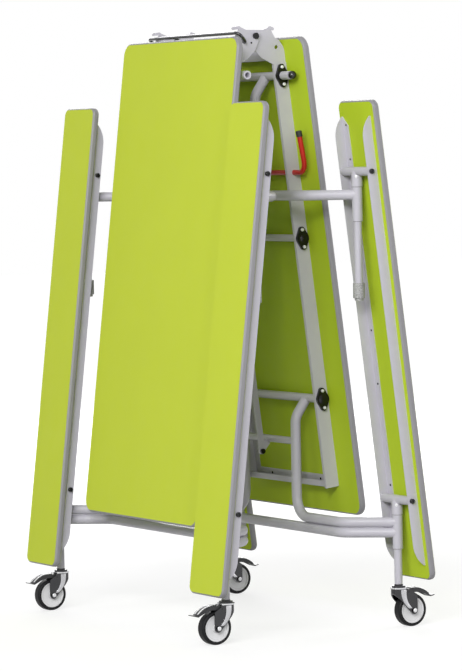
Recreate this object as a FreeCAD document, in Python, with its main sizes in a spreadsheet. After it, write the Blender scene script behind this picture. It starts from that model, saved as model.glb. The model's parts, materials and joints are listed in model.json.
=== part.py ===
"""Mobile folding table with four half benches, modelled folded up for storage.

The two table halves hinge together at the middle of the top. Each half stands on
two welded tube frames that always stay upright: an outer one on two casters and an
inner one on two glides. The benches and a link bar run parallel to the table half,
so table, frames, benches and link make parallelograms that fold as one.

Frame of the whole model: +Z up, origin on the floor at the middle of the casters,
X along the table, Y across it. Lengths are in millimetres and angles in degrees.

Local frames, used by the functions below:
  level   a table half or a bench as it lies when open. x runs from the centre hinge
          outwards, z = 0 is the working surface and the underside is negative.
  leg     an upright frame. x points outwards and the origin is where the benches
          pivot, midway between the front and the back bench.
  caster  origin on the floor below the stem, with the wheel trailing along +x.
"""
import FreeCAD, Part
import math
import os
import re
import Sketcher

Vector = FreeCAD.Vector
Rotation = FreeCAD.Rotation
Placement = FreeCAD.Placement

# Driving dimensions, and after them the lengths that follow from others.
DIMENSIONS = [
    # table half
    ("table_length", 1482),
    ("table_width", 722),
    ("board_thickness", 22),
    ("table_corner", 40),
    ("edging_width", 6),
    ("edging_nose", 8),
    ("fold_angle", 83),
    ("hinge_gap", 17.5),
    ("hinge_drop", 120.8),
    # where the frames pivot on the table half
    ("table_pivot_inner", 113.8),
    ("table_pivot_outer", 1117.4),
    ("table_pivot_drop", 44.7),
    ("table_pivot_height", 684.6),
    ("torsion_tube_place", 616),
    ("torsion_tube_diameter", 22),
    # pressed channels and cross members under the top
    ("channel_spread", 248),
    ("channel_depth", 45),
    ("channel_flange", 28),
    ("channel_lip", 11),
    ("left_channel_start", 66.5),
    ("right_channel_start", 76),
    ("channel_margin", 88),
    ("channel_sheet", 2.5),
    ("cross_depth", 28),
    ("cross_flange", 31),
    ("cross_lip", 18),
    ("inner_cross_place", 66),
    # hinge plates
    ("plate_thickness", 4),
    ("hinge_boss_radius", 18),
    ("hinge_bolt_radius", 7),
    ("hinge_head_radius", 9.5),
    ("hinge_head_height", 7),
    ("ear_radius", 4.5),
    ("ear_tip_along", -13.3),
    ("left_ear_reach", 78.6),
    ("right_ear_reach", 67.5),
    ("plate_board_start", 39),
    ("tongue_inset", 4),
    ("tongue_length", 12),
    ("left_plate_end", 76),
    ("stop_hole_radius", 6.5),
    # flanged bearings
    ("bearing_thickness", 9),
    ("bearing_radius", 21),
    ("bearing_end_radius", 9.5),
    ("bearing_bolt_spread", 26.5),
    ("bearing_bolt_radius", 5),
    ("bearing_bolt_height", 4),
    ("bearing_wall", 4),
    ("bearing_lip", 2),
    ("bearing_dome", 3),
    # upright frames
    ("axle_diameter", 26),
    ("axle_overhang", 8),
    ("stub_length", 55),
    ("open_stub_length", 109),
    ("axle_cap_radius", 13),
    ("tube_diameter", 31),
    ("tube_wall", 2),
    ("axle_wall", 5),
    ("leg_offset", 3),
    ("leg_inset", 88.8),
    ("pivot_rise", 295.5),
    ("side_tube_drop", 69.5),
    ("cross_tube_drop", 101),
    ("tube_set_back", 131),
    ("tube_turn_inset", 107),
    ("upright_spread", 158),
    ("upright_bend", 62),
    ("upright_height", 236),
    ("plan_bend", 58),
    ("socket_diameter", 34),
    ("socket_drop", 46),
    ("sleeve_drop", 150),
    ("lower_tube_diameter", 24.5),
    ("spreader_diameter", 22),
    ("spreader_height", 163),
    # link between the two frames of a side
    ("link_set_back", 160.5),
    ("link_height", 124),
    ("link_width", 20),
    ("link_thickness", 5),
    ("link_bolt_radius", 5),
    ("link_head_radius", 8),
    # benches
    ("bench_end_height", 142.85),
    ("bench_width", 200),
    ("bench_spread", 533),
    ("bench_corner", 24),
    ("bench_edging_width", 5),
    ("bench_pivot_inner", 211.3),
    ("bench_pivot_drop", 42.9),
    ("rail_spread", 79),
    ("rail_depth", 34),
    ("rail_flange", 28),
    ("rail_margin", 47),
    ("rail_taper", 65),
    ("rail_blunt", 4),
    ("rail_sheet", 2.5),
    ("head_tube_diameter", 27),
    ("bench_bolt_radius", 6),
    ("bench_head_radius", 7.5),
    ("bench_head_height", 6),
    ("bench_bolt_depth", 26),
    # glides
    ("glide_diameter", 36),
    ("glide_height", 46),
    ("sole_diameter", 27),
    ("sole_height", 7),
    ("glide_wall", 6),
    ("floor_gap", 1),
    # latch lever
    ("latch_place", 413),
    ("latch_drop", 42),
    ("latch_diameter", 16),
    ("latch_reach", 70),
    ("latch_arm", 125),
    ("latch_lean", 8),
    ("latch_bend", 36),
    ("grip_diameter", 19),
    ("grip_length", 18),
    # bail at the top of the left half
    ("bail_diameter", 10),
    ("bail_spread", 291),
    ("bail_bar_place", 1.5),
    ("bail_bar_rise", 78.5),
    ("bail_pin_place", 23.5),
    ("bail_pin_rise", 38.8),
    # casters
    ("wheel_diameter", 100),
    ("wheel_width", 32),
    ("hub_diameter", 80),
    ("hub_width", 29),
    ("wheel_axle_radius", 5),
    ("axle_nut_radius", 7),
    ("axle_nut_height", 5),
    ("caster_trail", 40),
    ("stem_radius", 10),
    ("stem_length", 42),
    ("head_radius", 26),
    ("fork_top", 117),
    ("fork_width", 48),
    ("fork_rear", 12),
    ("fork_front_depth", 14),
    ("fork_slope", 19),
    ("fork_slope_start", 22),
    ("fork_sheet", 2.5),
    ("collar_height", 14),
    ("pedal_width", 36),
    ("pedal_sheet", 2.5),
    ("pedal_pivot_place", 24),
    ("pedal_pivot_drop", 10),
    ("pedal_pin_radius", 3),
    ("pedal_barrel_radius", 6),
    # clearances
    ("running_clearance", 0.05),
    ("clearance", 0.3),
    # what follows from the rest
    ("channel_end", "=table_length - channel_margin"),
    ("leg_spread", "=bench_spread - leg_offset"),
    ("tube_turn_spread", "=leg_spread - tube_turn_inset"),
    ("pivot_spacing", "=table_pivot_outer - table_pivot_inner"),
    ("bench_drop", "=table_pivot_height - pivot_rise - bench_end_height"),
    ("bench_length", "=bench_pivot_inner + pivot_spacing + bench_drop / sin(fold_angle)"),
]

doc = FreeCAD.newDocument("FoldingTable")
sheet = doc.addObject("Spreadsheet::Sheet", "Dimensions")
for row, (alias, number) in enumerate(DIMENSIONS, 1):
    sheet.set("A%d" % row, alias)
    sheet.set("B%d" % row, str(number))
    sheet.setAlias("B%d" % row, alias)
doc.recompute()

subparts = {}


# ---------------------------------------------------------------- reading the sheet

def bind(expression):
    """Put the sheet's name before each alias in an expression."""
    return re.sub(r"[a-z][a-z_]*", lambda word: "Dimensions." + word.group(0), expression)


def size(expression):
    """The present value of an expression of sheet aliases."""
    return float(sheet.evalExpression(bind(expression)))


def axis_point(x, y, z):
    """A point whose coordinates are expressions of sheet aliases."""
    return Vector(size(x), size(y), size(z))


# ---------------------------------------------------------------- part design helpers

def new_body(name):
    body = doc.addObject("PartDesign::Body", name)
    body.AllowCompound = True
    return body


def origin_plane(body, role):
    return [item for item in body.Origin.OriginFeatures if item.Role == role][0]


def new_sketch(body, role, offset="0"):
    """A sketch on one of the body's origin planes, moved along the plane's normal."""
    sketch = body.newObject("Sketcher::SketchObject", body.Name + "Sketch")
    sketch.AttachmentSupport = [(origin_plane(body, role), "")]
    sketch.MapMode = "FlatFace"
    sketch.setExpression("AttachmentOffset.Base.z", bind(offset))
    return sketch


def fix_point(sketch, geometry, vertex, x, y):
    """Tie a point of a sketch to two expressions, measured from the origin."""
    for kind, expression, axis in (("DistanceX", x, -2), ("DistanceY", y, -1)):
        number = size(expression)
        if number == 0:
            sketch.addConstraint(Sketcher.Constraint("PointOnObject", geometry, vertex, axis))
        else:
            rule = Sketcher.Constraint(kind, -1, 1, geometry, vertex, number)
            index = sketch.addConstraint(rule)
            sketch.setExpression("Constraints[%d]" % index, bind(expression))


def polygon(sketch, corners):
    """A closed outline of straight lines between bound corners."""
    points = [Vector(size(x), size(y), 0) for x, y in corners]
    first = sketch.GeometryCount
    count = len(points)
    for number in range(count):
        sketch.addGeometry(Part.LineSegment(points[number], points[(number + 1) % count]))
    for number, (x, y) in enumerate(corners):
        following = first + (number + 1) % count
        sketch.addConstraint(Sketcher.Constraint("Coincident", first + number, 2, following, 1))
        fix_point(sketch, first + number, 1, x, y)


def rectangle(sketch, left, low, right, high):
    polygon(sketch, [(left, low), (right, low), (right, high), (left, high)])


def circle(sketch, x, y, radius):
    """A bound circle."""
    shape = Part.Circle(Vector(size(x), size(y), 0), Vector(0, 0, 1), size(radius))
    index = sketch.addGeometry(shape)
    fix_point(sketch, index, 3, x, y)
    rule = sketch.addConstraint(Sketcher.Constraint("Radius", index, size(radius)))
    sketch.setExpression("Constraints[%d]" % rule, bind(radius))


def pad(sketch, length, backwards=False):
    body = sketch.getParentGeoFeatureGroup()
    feature = body.newObject("PartDesign::Pad", body.Name + "Pad")
    feature.Profile = sketch
    feature.setExpression("Length", bind(length))
    feature.Reversed = backwards
    sketch.Visibility = False
    doc.recompute()
    return feature


def pocket(sketch, length, backwards=False):
    body = sketch.getParentGeoFeatureGroup()
    feature = body.newObject("PartDesign::Pocket", body.Name + "Pocket")
    feature.Profile = sketch
    feature.setExpression("Length", bind(length))
    feature.Reversed = backwards
    before = feature.BaseFeature.Shape.Volume
    doc.recompute()
    if feature.Shape.Volume >= before:
        raise RuntimeError("the pocket in %s removes nothing" % body.Name)
    return feature


def revolve(sketch, axis):
    body = sketch.getParentGeoFeatureGroup()
    feature = body.newObject("PartDesign::Revolution", body.Name + "Revolution")
    feature.Profile = sketch
    feature.ReferenceAxis = (sketch, [axis])
    feature.Angle = 360
    doc.recompute()
    return feature


def mirror(body, features, role="XZ_Plane"):
    """Repeat features on the other side of one of the body's origin planes."""
    feature = body.newObject("PartDesign::Mirrored", body.Name + "Mirrored")
    feature.Originals = features
    feature.MirrorPlane = (origin_plane(body, role), [""])
    body.Tip = feature
    doc.recompute()
    return feature


def fillet(base, radius, wanted):
    """Round the edges of a feature whose centre and direction pass a test."""
    body = base.getParentGeoFeatureGroup()
    names = []
    for number, edge in enumerate(base.Shape.Edges, 1):
        if wanted(edge):
            names.append("Edge%d" % number)
    feature = body.newObject("PartDesign::Fillet", body.Name + "Fillet")
    feature.Base = (base, names)
    feature.setExpression("Radius", bind(radius))
    body.Tip = feature
    doc.recompute()
    return feature


def upright_edge(edge):
    """True for a straight edge along the local z axis."""
    ends = [vertex.Point for vertex in edge.Vertexes]
    if len(ends) != 2 or edge.Curve.TypeId != "Part::GeomLine":
        return False
    run = ends[1] - ends[0]
    return abs(run.x) < 1e-6 and abs(run.y) < 1e-6


def keep(thing, label, placement):
    """Register a finished sub-part under its own name and set it in its place."""
    thing.Label = label
    thing.Placement = placement
    subparts[label] = thing


def keep_shape(shape, label, placement):
    """A sub-part made of bent tubes or turned pieces, which no sketch describes."""
    feature = doc.addObject("Part::Feature", label)
    feature.Shape = shape
    keep(feature, label, placement)


# ---------------------------------------------------------------- tube helpers

def centre_line(points, radii):
    """Straight runs joined by tangent arcs, one radius for each inner corner."""
    edges = []
    start = points[0]
    for number, radius in enumerate(radii, 1):
        corner = points[number]
        back = (points[number - 1] - corner).normalize()
        ahead = (points[number + 1] - corner).normalize()
        half = back.getAngle(ahead) / 2
        enter = corner + back * (radius / math.tan(half))
        leave = corner + ahead * (radius / math.tan(half))
        middle = corner + (back + ahead).normalize() * (radius / math.sin(half) - radius)
        edges.append(Part.LineSegment(start, enter).toShape())
        edges.append(Part.Arc(enter, middle, leave).toShape())
        start = leave
    edges.append(Part.LineSegment(start, points[-1]).toShape())
    return Part.Wire(edges)


def bent_rod(points, radii, radius):
    """A round bar along bent centre line."""
    ring = Part.Wire(Part.makeCircle(radius, points[0], points[1] - points[0]))
    return centre_line(points, radii).makePipe(Part.Face(ring))


def rod(start, end, radius):
    """A straight round bar between two points."""
    return Part.makeCylinder(radius, (end - start).Length, start, end - start)


def across(x, z, y_from, y_to, radius):
    """A round bar along Y."""
    return rod(Vector(x, y_from, z), Vector(x, y_to, z), radius)


def joined(shapes):
    """One solid from several that touch or cross."""
    return shapes[0].multiFuse(shapes[1:]).removeSplitter()


# ---------------------------------------------------------------- local frames

def turned(side):
    """The left half is the right half turned half way round the vertical."""
    return Placement(Vector(0, 0, 0), Rotation(Vector(0, 0, 1), 0 if side == "right" else 180))


def tilt():
    return Rotation(Vector(0, 1, 0), size("fold_angle"))


def table_origin():
    """The inner edge of the folded table half, on the side +X."""
    hinge = tilt().multVec(axis_point("0 - hinge_gap", "0", "0 - hinge_drop"))
    pivot = tilt().multVec(axis_point("table_pivot_outer", "0", "0 - table_pivot_drop"))
    return Vector(-hinge.x, 0, size("table_pivot_height") - pivot.z)


def leg_origin(kind):
    """Where the benches pivot on the outer (caster) or inner (glide) frame."""
    place = "table_pivot_outer" if kind == "caster" else "table_pivot_inner"
    pivot = table_origin() + tilt().multVec(axis_point(place, "0", "0 - table_pivot_drop"))
    return pivot + axis_point("leg_inset", "0", "0 - pivot_rise")


def table_frame(side):
    return turned(side).multiply(Placement(table_origin(), tilt()))


def leg_frame(side, kind):
    return turned(side).multiply(Placement(leg_origin(kind), Rotation()))


def bench_frame(side, place):
    """The frame of a bench, with place -1 on the local -Y side and +1 on the other."""
    pivot = tilt().multVec(axis_point("bench_pivot_inner", "0", "0 - bench_pivot_drop"))
    origin = leg_origin("glide") - pivot
    origin.y = place * size("bench_spread")
    return turned(side).multiply(Placement(origin, tilt()))


def caster_frame(side, place):
    stem = leg_origin("caster")
    foot = Vector(stem.x, place * size("leg_spread"), 0)
    return turned(side).multiply(Placement(foot, Rotation()))


def place_name(side, place):
    """Front is the world's -Y side. The left half is turned, so its sides swap."""
    facing = place if side == "right" else -place
    return side + ("_front" if facing < 0 else "_back")


# ---------------------------------------------------------------- boards

def board(label, placement, length, half_width, thickness, corner, trim):
    """A laminate panel inside its edging."""
    body = new_body(label + "_body")
    sketch = new_sketch(body, "XY_Plane")
    inset_end = "%s - %s" % (length, trim)
    inset_side = "%s - %s" % (half_width, trim)
    rectangle(sketch, trim, "0 - (%s)" % inset_side, inset_end, inset_side)
    panel = pad(sketch, thickness, backwards=True)
    fillet(panel, "%s - %s" % (corner, trim), upright_edge)
    keep(body, label, placement)


def edging(label, placement, length, half_width, thickness, corner, trim):
    """A round-nosed band around a board."""
    body = new_body(label + "_body")
    outer = new_sketch(body, "XY_Plane")
    rectangle(outer, "0", "0 - " + half_width, length, half_width)
    block = pad(outer, thickness, backwards=True)
    rounded = fillet(block, corner, upright_edge)

    def on_rim(edge):
        return abs(edge.BoundBox.ZMax - edge.BoundBox.ZMin) < 1e-6

    nosed = fillet(rounded, "edging_nose", on_rim)
    window = new_sketch(body, "XY_Plane")
    radius = size("%s - %s" % (corner, trim))
    rounded_window(window, size(trim), size("%s - %s" % (half_width, trim)),
                   size("%s - %s" % (length, trim)), radius)
    pocket(window, thickness)
    keep(body, label, placement)
    return nosed


def rounded_window(sketch, start, half, end, radius):
    """A rectangle with round corners, symmetric about the sketch's x axis."""
    centres = [(end - radius, half - radius, 0), (start + radius, half - radius, 90),
               (start + radius, radius - half, 180), (end - radius, radius - half, 270)]
    arcs = []
    for x, y, angle in centres:
        ring = Part.Circle(Vector(x, y, 0), Vector(0, 0, 1), radius)
        arcs.append(Part.ArcOfCircle(ring, math.radians(angle), math.radians(angle + 90)))
    for number, arc in enumerate(arcs):
        following = arcs[(number + 1) % 4]
        sketch.addGeometry(arc)
        sketch.addGeometry(Part.LineSegment(arc.EndPoint, following.StartPoint))


# ---------------------------------------------------------------- table half

def table_subframe(side):
    """Two pressed channels under the top, welded to a cross channel at the outer end."""
    body = new_body(side + "_subframe_body")
    under = "0 - board_thickness"
    web = "0 - channel_spread"
    inside = "channel_sheet - channel_spread"
    low = "0 - board_thickness - channel_depth"
    start = side + "_channel_start"
    section = new_sketch(body, "YZ_Plane", start)
    polygon(section, [
        (web, under),
        (web, low),
        ("channel_lip - channel_spread", low),
        ("channel_lip - channel_spread", low + " + channel_sheet"),
        (inside, low + " + channel_sheet"),
        (inside, under + " - channel_sheet"),
        ("channel_flange - channel_spread", under + " - channel_sheet"),
        ("channel_flange - channel_spread", under)])
    channel = pad(section, "channel_end - " + start)
    holes = new_sketch(body, "XZ_Plane", "channel_spread - 2 * channel_sheet")
    for place in ("table_pivot_inner", "table_pivot_outer"):
        circle(holes, place, "0 - table_pivot_drop", "axle_diameter / 2 + clearance")
    if side == "right":
        circle(holes, "latch_place", "0 - latch_drop", "latch_diameter / 2 + running_clearance")
    bored = pocket(holes, "3 * channel_sheet", backwards=True)
    mirror(body, [channel, bored])
    cross_channel(body, "channel_end", "channel_spread - channel_sheet")
    keep(body, side + "_table_subframe", table_frame(side))


def cross_channel(body, place, half_span):
    """A channel across the table, its web at one place and its lips towards the hinge."""
    under = "0 - board_thickness"
    low = under + " - cross_depth"
    sketch = new_sketch(body, "XZ_Plane", half_span)
    polygon(sketch, [
        (place, under),
        (place, low),
        (place + " - cross_lip", low),
        (place + " - cross_lip", low + " + channel_sheet"),
        (place + " - channel_sheet", low + " + channel_sheet"),
        (place + " - channel_sheet", under + " - channel_sheet"),
        (place + " - cross_flange", under + " - channel_sheet"),
        (place + " - cross_flange", under)])
    return pad(sketch, "2 * (%s)" % half_span, backwards=True)


def rounded_slot(sketch, start, end, radius):
    """An outline with two round ends, between two points of the sketch."""
    run = (end - start).normalize()
    side = Vector(-run.y, run.x, 0) * radius
    sketch.addGeometry(Part.LineSegment(start + side, end + side))
    sketch.addGeometry(Part.Arc(end + side, end + run * radius, end - side))
    sketch.addGeometry(Part.LineSegment(end - side, start - side))
    sketch.addGeometry(Part.Arc(start - side, start - run * radius, start + side))


# Corners of a hinge plate as distances from the hinge bolt: along the table, and up
# towards the top. The rest of its outline is tied to the top and the channel.
BOSS_CORNERS = [(-17.8, 2.2), (-2, -17.8), (42.8, -5.2), (70.3, 17.2)]
NOTCH_CORNERS = [(43.7, 96.1), (23.6, 84.7), (14.5, 71.7), (-6.8, 62.3), (-20.6, 57), (-14.3, 34)]
EAR_ROOT = (-17.9, 58.5)
STOP_HOLE = (43.5, 72.2)


def hinge_point(along, up):
    """Expressions for a place measured from the hinge bolt."""
    return ("%s - hinge_gap" % along, "%s - hinge_drop" % up)


def hinge_bracket(side):
    """Two shaped plates with hooked ears, welded to a cross channel, for the centre hinge.

    The right half's plates lie inside the channel webs and the left half's outside.
    """
    body = new_body(side + "_bracket_body")
    inner_face = "channel_spread" if side == "left" else "channel_spread - channel_sheet - plate_thickness"
    under = "0 - board_thickness"
    low = under + " - channel_depth"
    corners = [hinge_point(along, up) for along, up in BOSS_CORNERS]
    if side == "left":
        corners += [("left_plate_end", low), ("left_plate_end", under)]
    else:
        end = "right_channel_start - clearance"
        tongue = "right_channel_start + tongue_length"
        corners += [(end, low), (end, low + " + tongue_inset"), (tongue, low + " + tongue_inset"),
                    (tongue, under + " - tongue_inset"), (end, under + " - tongue_inset"), (end, under)]
    corners.append(("plate_board_start", under))
    corners += [hinge_point(along, up) for along, up in NOTCH_CORNERS]
    outline = new_sketch(body, "XZ_Plane", inner_face)
    polygon(outline, corners)
    plate = pad(outline, "plate_thickness")
    boss = new_sketch(body, "XZ_Plane", inner_face)
    circle(boss, "0 - hinge_gap", "0 - hinge_drop", "hinge_boss_radius")
    round_end = pad(boss, "plate_thickness")
    ear = new_sketch(body, "XZ_Plane", inner_face)
    tip = Vector(size("ear_tip_along - hinge_gap"), size("%s_ear_reach - hinge_drop" % side), 0)
    root = Vector(size(hinge_point(*EAR_ROOT)[0]), size(hinge_point(*EAR_ROOT)[1]), 0)
    rounded_slot(ear, root, tip, size("ear_radius"))
    hook = pad(ear, "plate_thickness")
    holes = new_sketch(body, "XZ_Plane", inner_face + " - plate_thickness")
    circle(holes, *hinge_point(*STOP_HOLE), "stop_hole_radius")
    gap = "0" if side == "right" else "running_clearance"
    circle(holes, "0 - hinge_gap", "0 - hinge_drop", "hinge_bolt_radius + " + gap)
    if side == "left":
        circle(holes, "bail_pin_place - hinge_gap", "bail_pin_rise - hinge_drop",
               "bail_diameter / 2 + running_clearance")
    bored = pocket(holes, "3 * plate_thickness", backwards=True)
    mirror(body, [plate, round_end, hook, bored])
    cross_channel(body, "inner_cross_place", inner_face)
    keep(body, side + "_hinge_bracket", table_frame(side))


def diamond(sketch, x, z):
    """The outline of a two-bolt flange around a point, long way along the table."""
    centre = Vector(size(x), size(z), 0)
    middle = size("bearing_radius")
    end = size("bearing_end_radius")
    spread = size("bearing_bolt_spread")
    lean = math.acos((middle - end) / spread)

    def on_circle(offset, radius, angle):
        return centre + Vector(offset + radius * math.cos(angle), radius * math.sin(angle), 0)

    half_turn = math.pi
    sketch.addGeometry(Part.Arc(on_circle(spread, end, -lean), on_circle(spread, end, 0),
                                on_circle(spread, end, lean)))
    sketch.addGeometry(Part.LineSegment(on_circle(spread, end, lean), on_circle(0, middle, lean)))
    sketch.addGeometry(Part.Arc(on_circle(0, middle, lean), on_circle(0, middle, half_turn / 2),
                                on_circle(0, middle, half_turn - lean)))
    sketch.addGeometry(Part.LineSegment(on_circle(0, middle, half_turn - lean),
                                        on_circle(-spread, end, half_turn - lean)))
    sketch.addGeometry(Part.Arc(on_circle(-spread, end, half_turn - lean), on_circle(-spread, end, half_turn),
                                on_circle(-spread, end, half_turn + lean)))
    sketch.addGeometry(Part.LineSegment(on_circle(-spread, end, half_turn + lean),
                                        on_circle(0, middle, half_turn + lean)))
    sketch.addGeometry(Part.Arc(on_circle(0, middle, half_turn + lean), on_circle(0, middle, -half_turn / 2),
                                on_circle(0, middle, -lean)))
    sketch.addGeometry(Part.LineSegment(on_circle(0, middle, -lean), on_circle(spread, end, -lean)))


PIVOTS = ("table_pivot_inner", "torsion_tube_place", "table_pivot_outer")

# How far an axle goes into the closed housings, from the channel's outer face.
CLOSED_BORE = "bearing_thickness - bearing_lip / 2 - clearance"


def bearings(side):
    """Six flanged housings on the channel webs: four carry axles, two the torsion tube."""
    body = new_body(side + "_bearings_body")
    drop = "0 - table_pivot_drop"
    features = []
    for place in PIVOTS:
        flange = new_sketch(body, "XZ_Plane", "channel_spread")
        diamond(flange, place, drop)
        features.append(pad(flange, "bearing_thickness"))
        hub = new_sketch(body, "XZ_Plane", "channel_spread")
        circle(hub, place, drop, "axle_diameter / 2 + bearing_wall")
        features.append(pad(hub, "bearing_thickness + bearing_lip"))
    features.append(dome(body, "torsion_tube_place", "torsion_tube_diameter / 2"))
    features.append(dome(body, "table_pivot_outer", "axle_diameter / 2 + bearing_wall - clearance"))
    for place, depth in (("table_pivot_inner", "2 * bearing_thickness"),
                         ("table_pivot_outer", CLOSED_BORE + " + clearance + channel_sheet")):
        bore = new_sketch(body, "XZ_Plane", "channel_spread - channel_sheet")
        circle(bore, place, drop, "axle_diameter / 2 + running_clearance")
        features.append(pocket(bore, depth, backwards=True))
    mirror(body, features)
    keep(body, side + "_bearings", table_frame(side))


def dome(body, place, radius):
    """A rounded cap on the outer face of a housing that is closed."""
    sketch = new_sketch(body, "XY_Plane", "0 - table_pivot_drop")
    sketch.setExpression("AttachmentOffset.Base.x", bind(place))
    face = -size("channel_spread + bearing_thickness + bearing_lip")
    height = size("bearing_dome")
    wide = size(radius)
    ball = (wide ** 2 + height ** 2) / (2 * height)
    turn = math.asin(wide / ball) / 2
    rim = Vector(wide, face, 0)
    crown = Vector(0, face - height, 0)
    middle = Vector(ball * math.sin(turn), face - height + ball * (1 - math.cos(turn)), 0)
    sketch.addGeometry(Part.LineSegment(Vector(0, face, 0), rim))
    sketch.addGeometry(Part.Arc(rim, middle, crown))
    sketch.addGeometry(Part.LineSegment(crown, Vector(0, face, 0)))
    return revolve(sketch, "V_Axis")


def bearing_bolts(side):
    """Low round heads, two on each flanged housing."""
    body = new_body(side + "_bolts_body")
    sketch = new_sketch(body, "XZ_Plane", "channel_spread + bearing_thickness")
    for place in PIVOTS:
        for sign in ("+", "-"):
            circle(sketch, "%s %s bearing_bolt_spread" % (place, sign), "0 - table_pivot_drop",
                   "bearing_bolt_radius")
    mirror(body, [pad(sketch, "bearing_bolt_height")])
    keep(body, side + "_bearing_bolts", table_frame(side))


def torsion_tube(side):
    """The tube across the half that houses the spring which helps lifting."""
    body = new_body(side + "_torsion_body")
    span = "channel_spread - channel_sheet"
    sketch = new_sketch(body, "XZ_Plane", span)
    circle(sketch, "torsion_tube_place", "0 - table_pivot_drop", "torsion_tube_diameter / 2")
    circle(sketch, "torsion_tube_place", "0 - table_pivot_drop", "torsion_tube_diameter / 2 - tube_wall")
    pad(sketch, "2 * (%s)" % span, backwards=True)
    keep(body, side + "_torsion_tube", table_frame(side))


def hinge_bolts():
    """The two shouldered bolts of the centre hinge, fixed in the right half's plates."""
    x = -size("hinge_gap")
    z = -size("hinge_drop")
    inner = size("channel_spread - channel_sheet - plate_thickness")
    between = size("channel_spread - channel_sheet")
    outer = size("channel_spread + plate_thickness")
    gap = size("clearance")
    head = size("hinge_head_height")
    shapes = []
    for place in (-1, 1):
        pieces = [
            across(x, z, place * (inner - head), place * (outer + gap), size("hinge_bolt_radius")),
            across(x, z, place * (outer + gap), place * (outer + gap + head), size("hinge_head_radius")),
            across(x, z, place * between, place * (size("channel_spread") - gap), size("hinge_head_radius")),
            across(x, z, place * (inner - head), place * inner, size("hinge_head_radius"))]
        shapes.append(joined(pieces))
    keep_shape(Part.Compound(shapes), "hinge_bolts", table_frame("right"))


def latch_lever():
    """A cranked rod through both channels of the right half, with a plastic grip."""
    x = size("latch_place")
    z = -size("latch_drop")
    outside = -size("channel_spread + latch_reach")
    radius = size("latch_diameter / 2")
    elbow = Vector(x, outside, z)
    tip = elbow - axis_point("latch_arm", "0", "latch_lean")
    points = [Vector(x, size("channel_spread + clearance + axle_overhang"), z), elbow, tip]
    keep_shape(bent_rod(points, [size("latch_bend")], radius), "latch_lever", table_frame("right"))
    run = (tip - elbow).normalize()
    closed_end = tip + run * (radius / 2)
    open_end = closed_end - run * size("grip_length")
    grip = rod(open_end, closed_end, size("grip_diameter / 2"))
    rim = [edge for edge in grip.Edges
           if edge.isClosed() and (edge.BoundBox.Center - closed_end).Length < radius / 2]
    grip = grip.makeFillet(size("grip_diameter / 8"), rim)
    keep_shape(grip.cut(rod(open_end, tip, radius)), "latch_lever_grip", table_frame("right"))


def lock_bail():
    """The bail that springs over both halves' ears, pinned in the left half's plates."""
    pin = (size("bail_pin_place - hinge_gap"), size("bail_pin_rise - hinge_drop"))
    bar = (size("bail_bar_place - hinge_gap"), size("bail_bar_rise - hinge_drop"))
    face = size("channel_spread")
    elbow = face + size("plate_thickness + bail_diameter + clearance")
    corner = size("bail_spread")
    points = [Vector(pin[0], -face, pin[1]), Vector(pin[0], -elbow, pin[1]),
              Vector(bar[0], -corner, bar[1]), Vector(bar[0], corner, bar[1]),
              Vector(pin[0], elbow, pin[1]), Vector(pin[0], face, pin[1])]
    radii = [size("bail_diameter * 0.8"), size("bail_diameter * 1.3"),
             size("bail_diameter * 1.3"), size("bail_diameter * 0.8")]
    keep_shape(bent_rod(points, radii, size("bail_diameter / 2")), "lock_bail", table_frame("left"))


# ---------------------------------------------------------------- upright frames

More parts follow.
